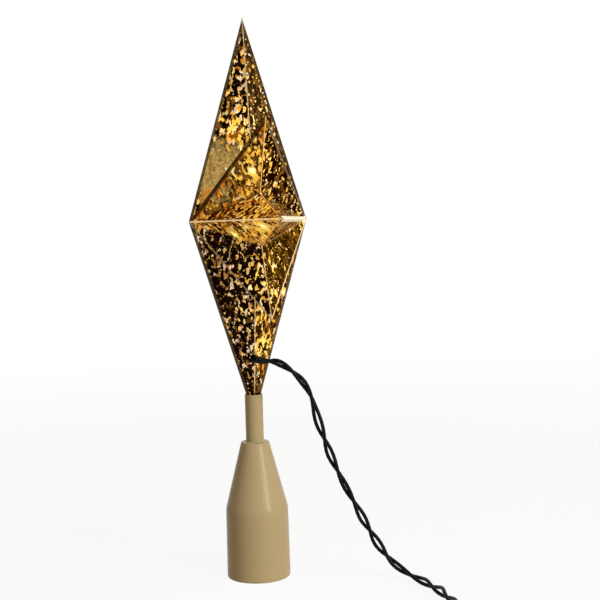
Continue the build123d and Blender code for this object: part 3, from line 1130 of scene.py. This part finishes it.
        # Painted light: the flecks, the bright ridge lines and the lamp spots glow, for the lamps behind
        # the opaque coat.
        lit = self.times(fleck, self.spread(self.most(self.glow, self.halo), *look.fleck_light))
        lit = self.most(lit, self.hot, self.times(bright_line, look.line_light))
        return self.finish(
            Base_Color=colour,
            Metallic=self.less(1.0, open_coat),
            Roughness=self.spread(open_coat, *look.rough),
            Emission_Color=self.mix(lit, BLACK, colour),
            Emission_Strength=1.0,
            Specular_IOR_Level=look.specular,
            Specular_Tint=look.grazing_tint,
            Normal=self.bump(fleck, look.fleck_relief, invert=True),
        )


@dataclass
class StarShells:
    """The two mirrored half shells, the anchor that fills the lead's hole and the glue along their seam."""

    form: StarForm
    effects: Effects
    bead_out: float = 0.00018
    bead_half_width: float = 0.00025
    bead_sides: int = 10
    mouth_clearance: float = 0.0006
    notch_half: float = 0.0030
    blunt_limit: float = 1.2

    def build(self) -> None:
        """Dress the shells and run the bead round the seam, up to the neck and the lead's notch."""
        coat = MirrorFleck("mirror_fleck").material(self.effects)
        dress(coat, "star_front_shell", "star_back_shell", "cord_anchor")
        form = self.form
        exit_drop = form.centre.z - TwistedLead.exit_place[2]
        mouth = form.foot - self.mouth_clearance
        above = form.low_edge(exit_drop - self.notch_half, 1)
        below = form.low_edge(exit_drop + self.notch_half, 1)
        sheet = Sheet()
        sheet.add_grid(self.bead(np.vstack([above, form.open_outline(), form.low_edge(mouth, -1)])))
        sheet.add_grid(self.bead(np.vstack([form.low_edge(mouth, 1), below])))
        sheet.build("seam_bead", SeamGlue("seam_glue").material(self.effects), "mirror_shell")

    def bead(self, path: np.ndarray) -> np.ndarray:
        """Carry a rounded profile along a line of the outline.

        Each ring is an ellipse in the plane of Y and the corner's outward bisector. At a corner it is
        stretched by one over the cosine of half the turn, up to a limit, so that the bead stays even.

        Args:
            path: points of the line, as x and z from the centre.

        Returns:
            Rows of rings.
        """
        ways = unit(np.diff(path, axis=0))
        after = np.vstack([ways, ways[-1:]])
        bisector = unit(np.vstack([ways[:1], ways]) + after)
        outward = np.stack([bisector[:, 1], -bisector[:, 0]], axis=1)
        stretch = np.minimum(1 / np.sum(bisector * after, axis=1), self.blunt_limit)
        angle = round_angles(self.bead_sides)
        out = self.bead_out * np.cos(angle)[None, :] * stretch[:, None]
        flat = path[:, None, :] + out[:, :, None] * outward[:, None, :]
        wide = np.broadcast_to(self.bead_half_width * np.sin(angle), out.shape)
        centre = self.form.centre
        return np.stack([flat[..., 0] + centre.x, wide + centre.y, flat[..., 1] + centre.z], axis=-1)


@dataclass
class SocketBase:
    """The tan socket that slides over the top of the tree."""

    effects: Effects

    def build(self) -> None:
        """Dress the moulding."""
        tan = MouldedPlastic(
            "base_tan", (0.420, 0.328, 0.174), (0.385, 0.297, 0.150), rough=0.29, grain=700.0, specular=0.12
        )
        dress(tan.material(self.effects), "socket_base")


@dataclass
class LampSet:
    """What the shells hold: the carrier, ten lamps in their holders and the wiring."""

    effects: Effects
    lamp_count: int = 10

    def build(self) -> None:
        """Dress the inner pieces."""
        white = MouldedPlastic("carrier_white", (0.80, 0.78, 0.72), (0.72, 0.70, 0.62), rough=0.45)
        green = MouldedPlastic("holder_green", (0.020, 0.045, 0.026), (0.012, 0.030, 0.017), rough=0.4)
        glass = LampGlass("lamp_glass", (1.0, 0.86, 0.62), (1.0, 0.62, 0.22))
        wiring = MouldedPlastic("wiring_green", (0.010, 0.018, 0.011), (0.006, 0.011, 0.007), rough=0.42)
        numbers = [f"{number:02d}" for number in range(1, self.lamp_count + 1)]
        dress(white.material(self.effects), "lamp_carrier")
        dress(green.material(self.effects), *[f"lamp_socket_{number}" for number in numbers])
        dress(glass.material(self.effects), *[f"lamp_bulb_{number}" for number in numbers])
        dress(wiring.material(self.effects), "lamp_harness", "inner_lead")


@dataclass
class TwistedLead:
    """Two insulated wires twisted together, from the star to the coil, its tail and the plug.

    The slack and tight twists are each a place along the lead, a share of a turn and a reach.
    """

    effects: Effects
    wire_radius: float = 0.00093
    diameter: float = 0.0046
    length: float = 1.41
    twist_pitch: float = 0.036
    twist_start: float = 0.079
    slack_twist: tuple[float, float, float] = (0.017, -0.13, 0.011)
    tight_twist: tuple[float, float, float] = (0.049, 0.14, 0.013)
    least_gap: float = 0.00005
    gap_swing: float = 0.0011
    gap_wave: float = 0.056
    widest_gap_at: float = 0.069
    close_to: float = 0.030
    open_from: float = 0.046
    ring_sides: int = 10
    turn_points: int = 16
    span_points: int = 8
    coil_centre: Range = (0.133, 0.037)
    coil_inner: float = 0.01555
    turn_pitch: float = 0.0052
    lower_layer: float = 0.0034
    upper_layer: float = 0.0086
    inward_quarters: int = 14
    coil_quarters: int = 29
    exit_place: Point = (0.0055, 0.0, 0.111)
    tail_end: Point = (0.16675, 0.0124, 0.0086)
    route: tuple[Point, ...] = (
        (0.0024, 0.0, 0.111),
        (0.0150, 0.0, 0.111),
        (0.0260, 0.0080, 0.1118),
        (0.0282, 0.0217, 0.0990),
        (0.0260, 0.0265, 0.0798),
        (0.0252, 0.0346, 0.0573),
        (0.0244, 0.0446, 0.0380),
        (0.0240, 0.0535, 0.0206),
        (0.0265, 0.0620, 0.0075),
        (0.0380, 0.0695, 0.0026),
        (0.0570, 0.0745, 0.0026),
        (0.0850, 0.0740, 0.0026),
        (0.1100, 0.07205, 0.0034),
        (0.1284, 0.07205, 0.0034),
    )

    def coil_points(self) -> np.ndarray:
        """Points of the coil, clockwise from its far side.

        The radius falls by one turn pitch a turn until the coil reverses, a quarter past its inward turns,
        and then grows again. The height goes up a layer, on a cosine, in the half turn round the reversal.

        Returns:
            Control points.
        """
        count = self.coil_quarters * self.turn_points // 4
        quarters = np.linspace(0.0, self.coil_quarters, count + 1)
        past = quarters - self.inward_quarters - 1
        radius = self.coil_inner + self.turn_pitch * np.abs(past) / 4
        angle = (1 - quarters) * TURN / 4
        climb = (1 - np.cos(np.clip((past + 1) / 2, 0.0, 1.0) * math.pi)) / 2
        height = self.lower_layer + (self.upper_layer - self.lower_layer) * climb
        x = self.coil_centre[0] + radius * np.cos(angle)
        y = self.coil_centre[1] + radius * np.sin(angle)
        return np.stack([x, y, height], axis=1)

    def centreline(self) -> np.ndarray:
        """Points read from the smooth spline through the route, the coil and the tail.

        Returns:
            Points along the lead.
        """
        controls = np.vstack([self.route, self.coil_points(), self.tail_end])
        curve = bpy.data.curves.new("lead_line", "CURVE")
        curve.dimensions = "3D"
        spline = curve.splines.new("NURBS")
        spline.points.add(len(controls) - 1)
        weighted = np.c_[controls, np.ones(len(controls))]
        spline.points.foreach_set("co", weighted.astype(np.float32).ravel())
        spline.order_u = 3
        spline.use_endpoint_u = True
        spline.resolution_u = self.span_points
        holder = bpy.data.objects.new("lead_line", curve)
        mesh = bpy.data.meshes.new_from_object(holder)
        points = np.empty(3 * len(mesh.vertices), dtype=np.float32)
        mesh.vertices.foreach_get("co", points)
        bpy.data.objects.remove(holder)
        bpy.data.meshes.remove(mesh)
        return points.reshape(-1, 3).astype(float)

    def wire(self, line: np.ndarray, phase: float) -> np.ndarray:
        """One wire: a ring carried along a helix about the centreline.

        At arc length s the wire stands off the centreline by its radius plus half the gap between the
        wires, at the angle of s over the twist pitch. Two bell curves of s turn it back and on a little,
        where the pair was twisted slack and tight. The ring lies square to the helix's own heading.

        Args:
            line: points of the centreline.
            phase: the wire's share of a turn.

        Returns:
            Rows of rings.
        """
        heading = unit(np.gradient(line, axis=0))
        side = unit(np.cross(UPWARD, heading))
        lift = np.cross(heading, side)
        arc = arc_lengths(line)
        turns = arc / self.twist_pitch + phase + self.twist_start
        for place, extra, reach in (self.slack_twist, self.tight_twist):
            turns = turns + extra * np.exp(-(((arc - place) / reach) ** 2))
        angle = TURN * turns
        wave = np.cos(TURN * (arc - self.widest_gap_at) / self.gap_wave)
        opened = np.clip((arc - self.close_to) / (self.open_from - self.close_to), 0.0, 1.0)
        gap = self.least_gap + self.gap_swing * opened * (1 + wave) / 2
        away = side * np.cos(angle)[:, None] + lift * np.sin(angle)[:, None]
        core = line + away * (self.wire_radius + gap / 2)[:, None]
        way = unit(np.gradient(core, axis=0))
        out = unit(away - way * np.sum(away * way, axis=1, keepdims=True))
        across = np.cross(way, out)
        ring = round_angles(self.ring_sides)[:, None]
        rim = out[:, None, :] * np.cos(ring) + across[:, None, :] * np.sin(ring)
        return core[:, None, :] + self.wire_radius * rim

    def build(self, on_lead: list[Object]) -> None:
        """Build the wires in place of the imported cord.

        Args:
            on_lead: the pieces on the lead; not used.
        """
        line = self.centreline()
        sheet = Sheet()
        for phase in (0.0, 0.5):
            sheet.add_grid(self.wire(line, phase))
        jacket = WireJacket("lead_jacket", (0.0016, 0.0020, 0.0013), (0.0060, 0.0066, 0.0046))
        lead = sheet.build("twisted_lead", jacket.material(self.effects), "wire_jacket")
        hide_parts("cord_lead", "cord_coil", "cord_tail")


@dataclass
class CoilTie:
    """A paper twist tie round all the turns of the coil."""

    effects: Effects
    lead: TwistedLead
    bearing: float = math.radians(225.0)
    half_width: float = 0.0021
    thickness: float = 0.0005
    core_rise: float = 0.00035
    core_share: float = 0.25
    section_sides: int = 16
    corner: float = 0.0030
    inside: float = 0.01290
    outside: float = 0.03380
    floor: float = 0.0007
    top: float = 0.0116
    rings: int = 96
    tail_rings: int = 60
    tail_height: float = 0.6
    tail_length: float = 0.017
    tail_turns: float = 1.6
    tail_phase: float = 0.125
    tail_twisted: float = 0.6
    tail_spread: float = 0.0042
    tail_lift: float = 0.4
    tail_droop: float = 0.0035
    tail_narrowing: float = 0.62

    def build(self) -> Object:
        """Build the loop and its twisted tail.

        Returns:
            The tie.
        """
        sheet = Sheet()
        sheet.add_grid(self.loop(), caps=False)
        for side in (-1, 1):
            sheet.add_grid(self.tail(side))
        black = MouldedPlastic(
            "tie_black", (0.020, 0.020, 0.021), (0.013, 0.013, 0.014), rough=0.5, grain=2000.0
        )
        tie = sheet.build("twist_tie", black.material(self.effects), "tie_plastic")
        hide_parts("coil_tie")
        return tie

    def axes(self) -> tuple[np.ndarray, np.ndarray, np.ndarray]:
        """The coil's centre on the floor, the way out of it to the tie, and the way across that."""
        radial = np.array([math.cos(self.bearing), math.sin(self.bearing), 0.0])
        return np.array([*self.lead.coil_centre, 0.0]), radial, np.cross(UPWARD, radial)

    def section(self) -> tuple[np.ndarray, np.ndarray]:
        """Ribbon section: a flat ellipse across the width with a round wire core that stands proud.

        Returns:
            Widths across the ribbon and rises off its middle.
        """
        turn = round_angles(self.section_sides)
        wide = self.half_width * np.cos(turn)
        bulge = self.core_rise * np.exp(-((wide / (self.core_share * self.half_width)) ** 2))
        return wide, np.sin(turn) * self.thickness / 2 + np.sign(np.sin(turn)) * bulge

    def loop(self) -> np.ndarray:
        """The ribbon round the coil: its section carried round a rectangle with round corners.

        Returns:
            Rows of rings, the last one on the first.
        """
        middle = np.array([(self.inside + self.outside) / 2, (self.floor + self.top) / 2])
        half = np.array([(self.outside - self.inside) / 2, (self.top - self.floor) / 2]) - self.corner
        angle = np.linspace(0.0, TURN, self.rings + 1)
        outward = np.stack([np.cos(angle), np.sin(angle)], axis=1)
        # Rounded, so that a side's middle has no sign.
        reach = half * np.sign(np.round(outward, 9))
        path = middle + reach + self.corner * outward
        wide, rise = self.section()
        centre, radial, across = self.axes()
        off = path[:, None, :] + rise[None, :, None] * outward[:, None, :]
        return centre + off[..., :1] * radial + off[..., 1:] * UPWARD + wide[None, :, None] * across

    def tail(self, side: int) -> np.ndarray:
        """One of the ribbon's two ends, which are twisted together and then part.

        The section is carried along a drooping line. It turns steadily over the twisted share of the line,
        a quarter turn away from the other end, and then leaves sideways with the square of the distance.

        Args:
            side: -1 for one end and 1 for the other.

        Returns:
            Rows of rings.
        """
        share = np.linspace(0.0, 1.0, self.tail_rings)
        centre, radial, across = self.axes()
        start = centre + radial * self.outside + UPWARD * self.tail_height * self.top
        loose = np.clip((share - self.tail_twisted) / (1 - self.tail_twisted), 0.0, 1.0)
        line = start + share[:, None] * self.tail_length * radial
        line = line - UPWARD * (self.tail_droop * share**2)[:, None]
        line = line + side * self.tail_spread * loose[:, None] ** 2 * (across + self.tail_lift * UPWARD)
        twisted = np.minimum(share, self.tail_twisted) / self.tail_twisted
        angle = TURN * (self.tail_turns * twisted + side * self.tail_phase)[:, None]
        first = across * np.cos(angle) + UPWARD * np.sin(angle)
        second = -across * np.sin(angle) + UPWARD * np.cos(angle)
        wide, rise = self.section()
        narrow = self.tail_narrowing * wide
        return line[:, None, :] + narrow[:, None] * first[:, None, :] + rise[:, None] * second[:, None, :]


@dataclass
class MainsPlug:
    """The moulded plug, its ribbed strain relief, finger ribs and brass blades."""

    effects: Effects
    relief_rings: int = 7
    relief_sides: int = 40
    ring_points: int = 20
    thin_end: float = 0.7
    groove: float = 0.00055
    groove_steepness: float = 4.0
    groove_fade: float = 8.0
    rib_count: int = 5
    rib_points: int = 25
    rib_sides: int = 14
    rib_height: float = 0.0007
    rib_half_width: float = 0.0006
    rib_blunt: float = 0.02
    rib_margin: float = 0.0052
    rib_first: float = 0.30
    rib_step: float = 0.12
    wall_taper: float = 0.0005

    def build(self) -> list[Object]:
        """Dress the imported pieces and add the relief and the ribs.

        Returns:
            The pieces on the lead.
        """
        green = MouldedPlastic(
            "plug_green",
            (0.008, 0.018, 0.011),
            (0.005, 0.012, 0.007),
            rough=0.38,
            grain=800.0,
            specular=0.2,
        )
        brass = RolledBrass("blade_brass", (0.78, 0.56, 0.24), (0.55, 0.36, 0.13))
        finish = green.material(self.effects)
        dress(finish, "plug_body")
        dress(brass.material(self.effects), "plug_blades")
        relief = self.relief(finish)
        ribs = self.ribs(finish)
        return [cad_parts["plug_body"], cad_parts["plug_blades"], relief, ribs]

    def relief(self, finish: Material) -> Object:
        """Strain relief: a tapered round, its radius a straight taper less a rounded square wave.

        Args:
            finish: the plug's plastic.

        Returns:
            The piece.
        """
        low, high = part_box("plug_strain_relief")
        middle = (low + high) / 2
        share = np.linspace(0.0, 1.0, self.ring_points * self.relief_rings)
        wide = (high.x - low.x) / 2
        thin = self.thin_end * wide
        wave = np.tanh(self.groove_steepness * np.cos(TURN * self.relief_rings * share))
        depth = self.groove * (1 + wave) / 2 * np.clip(self.groove_fade * (1 - share), 0.0, 1.0)
        radius = thin + (wide - thin) * share - depth
        y = high.y + (low.y - high.y) * share
        angle = round_angles(self.relief_sides)
        x = middle.x - radius[:, None] * np.cos(angle)
        z = middle.z + radius[:, None] * np.sin(angle)
        sheet = Sheet()
        sheet.add_grid(np.stack([x, np.broadcast_to(y[:, None], x.shape), z], axis=-1))
        piece = sheet.build("plug_relief_ribbed", finish, "plug_plastic")
        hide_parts("plug_strain_relief")
        return piece

    def ribs(self, finish: Material) -> Object:
        """Finger ribs: half-round bars on the plug's two sides.

        Each ring's height and width swell with the root of one less the fourth power of its place along
        the bar, which leaves the ends blunt.

        Args:
            finish: the plug's plastic.

        Returns:
            The piece.
        """
        low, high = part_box("plug_body")
        middle = (low + high) / 2
        span = high.y - low.y
        share = np.linspace(-1.0, 1.0, self.rib_points)
        swell = np.sqrt(np.clip(1 - share**4, 0.0, 1.0)) * (1 - self.rib_blunt) + self.rib_blunt
        angle = round_angles(self.rib_sides)
        length = (high.z - low.z) / 2 - self.rib_margin
        sheet = Sheet()
        for side in (-1, 1):
            for index in range(self.rib_count):
                along = low.y + span * (self.rib_first + self.rib_step * index)
                wall = (high.x - middle.x) - self.wall_taper * (high.y - along) / span
                x = middle.x + side * (wall + self.rib_height * swell[:, None] * np.cos(angle))
                y = along + side * self.rib_half_width * swell[:, None] * np.sin(angle)
                z = np.broadcast_to((middle.z + length * share)[:, None], x.shape)
                sheet.add_grid(np.stack([x, y, z], axis=-1))
        return sheet.build("plug_finger_ribs", finish, "plug_plastic")


@dataclass(frozen=True)
class SoftLight:
    """A rectangular soft light: its place, what it looks at, its width and height, and its power."""

    name: str
    place: Point
    aim: Point
    size: Range
    watts: float

    def build(self) -> None:
        """Add the light."""
        data = bpy.data.lights.new(self.name, "AREA")
        data.shape = "RECTANGLE"
        data.size, data.size_y = self.size
        data.energy = self.watts
        light = add_object(self.name, data)
        light.location = self.place
        light.rotation_mode = "QUATERNION"
        light.rotation_quaternion = (Vector(self.aim) - Vector(self.place)).to_track_quat("-Z", "Y")


@dataclass
class Studio:
    """Pale floor, soft light and the camera at the photograph's place."""

    camera_place: Point = (0.58757, -0.12156, 0.17630)
    camera_ahead: Point = (-0.96825, 0.24233, -0.06133)
    camera_up: Point = (-0.05257, 0.04249, 0.99771)
    lens: float = 71.8
    sensor: float = 36.0
    floor_half: float = 4.0
    floor_colour: Colour = (0.72, 0.68, 0.62)
    floor_own_light: float = 0.92
    floor_fade: Range = (0.25, 1.1)
    ambient: Colour = (1.0, 0.71, 0.42)
    ambient_strength: float = 0.185
    lights: tuple[SoftLight, ...] = (
        SoftLight("key_strip", (0.98, 0.63, 0.37), (0.0, 0.0, 0.05), (0.09, 0.30), 7.4),
        SoftLight("key_soft", (0.95, 0.48, 1.30), (0.0, 0.0, 0.13), (0.9, 0.9), 15.7),
    )

    def build(self) -> None:
        """Build the whole studio."""
        bpy.context.scene.view_settings.view_transform = "Standard"
        self.camera()
        self.world()
        self.floor()
        for light in self.lights:
            light.build()

    def camera(self) -> None:
        """Make the camera, from its place, its heading and its upward side."""
        ahead = Vector(self.camera_ahead).normalized()
        right = ahead.cross(Vector(self.camera_up)).normalized()
        upward = right.cross(ahead)
        data = bpy.data.cameras.new("camera")
        data.lens = self.lens
        data.sensor_width = self.sensor
        camera = add_object("camera", data)
        turn = Matrix((right, upward, -ahead)).transposed().to_4x4()
        camera.matrix_world = Matrix.Translation(self.camera_place) @ turn
        bpy.context.scene.camera = camera

    def seen(self, graph: Graph) -> Socket:
        """1 for the rays that look at the studio's white, and 0 for the rest."""
        path = graph.add("ShaderNodeLightPath").outputs
        return graph.most(*[path[ray.value] for ray in Ray])

    def world(self) -> None:
        """White for the rays that look at it, and soft warm light for the rest."""
        world = bpy.data.worlds.new("studio")
        world.use_nodes = True
        bpy.context.scene.world = world
        graph = Graph(world.node_tree)
        graph.tree.nodes.clear()
        soft = graph.add("ShaderNodeBackground", {0: self.ambient, 1: self.ambient_strength}).outputs[0]
        white = graph.add("ShaderNodeBackground", {0: WHITE, 1: 1.0}).outputs[0]
        both = graph.add("ShaderNodeMixShader", {0: self.seen(graph), 1: soft, 2: white})
        graph.add("ShaderNodeOutputWorld", {0: both.outputs[0]})

    def floor(self) -> None:
        """A plain floor, nearly white, that keeps the shadow and fades into the white behind it."""
        half = self.floor_half
        corners = [(-half, -half, 0.0), (half, -half, 0.0), (half, half, 0.0), (-half, half, 0.0)]
        mesh = bpy.data.meshes.new("floor")
        mesh.from_pydata(corners, [], [[0, 1, 2, 3]])
        material = bpy.data.materials.new("floor_white")
        material.use_nodes = True
        graph = Graph(material.node_tree)
        graph.tree.nodes.clear()
        matt = graph.add("ShaderNodeBsdfDiffuse", {0: self.floor_colour}).outputs[0]
        own = graph.add("ShaderNodeEmission", {0: WHITE, 1: 1.0}).outputs[0]
        away = graph.step(graph.vector("LENGTH", graph.object_place()), *self.floor_fade)
        share = graph.times(self.seen(graph), graph.spread(away, self.floor_own_light, 1.0))
        both = graph.add("ShaderNodeMixShader", {0: share, 1: matt, 2: own})
        graph.add("ShaderNodeOutputMaterial", {0: both.outputs[0]})
        mesh.materials.append(material)
        add_object("floor", mesh)


def main() -> None:
    """Build the studio and the object's classes in order."""
    logging.basicConfig(level=logging.INFO, format="%(name)s: %(message)s")
    form = StarForm.measured()
    effects = Effects(form)
    Studio().build()
    lead = TwistedLead(effects)
    plug_pieces = MainsPlug(effects).build()
    tie = CoilTie(effects, lead).build()
    lead.build([*plug_pieces, tie])
    StarShells(form, effects).build()
    SocketBase(effects).build()
    LampSet(effects).build()


if __name__ == "__main__":
    main()
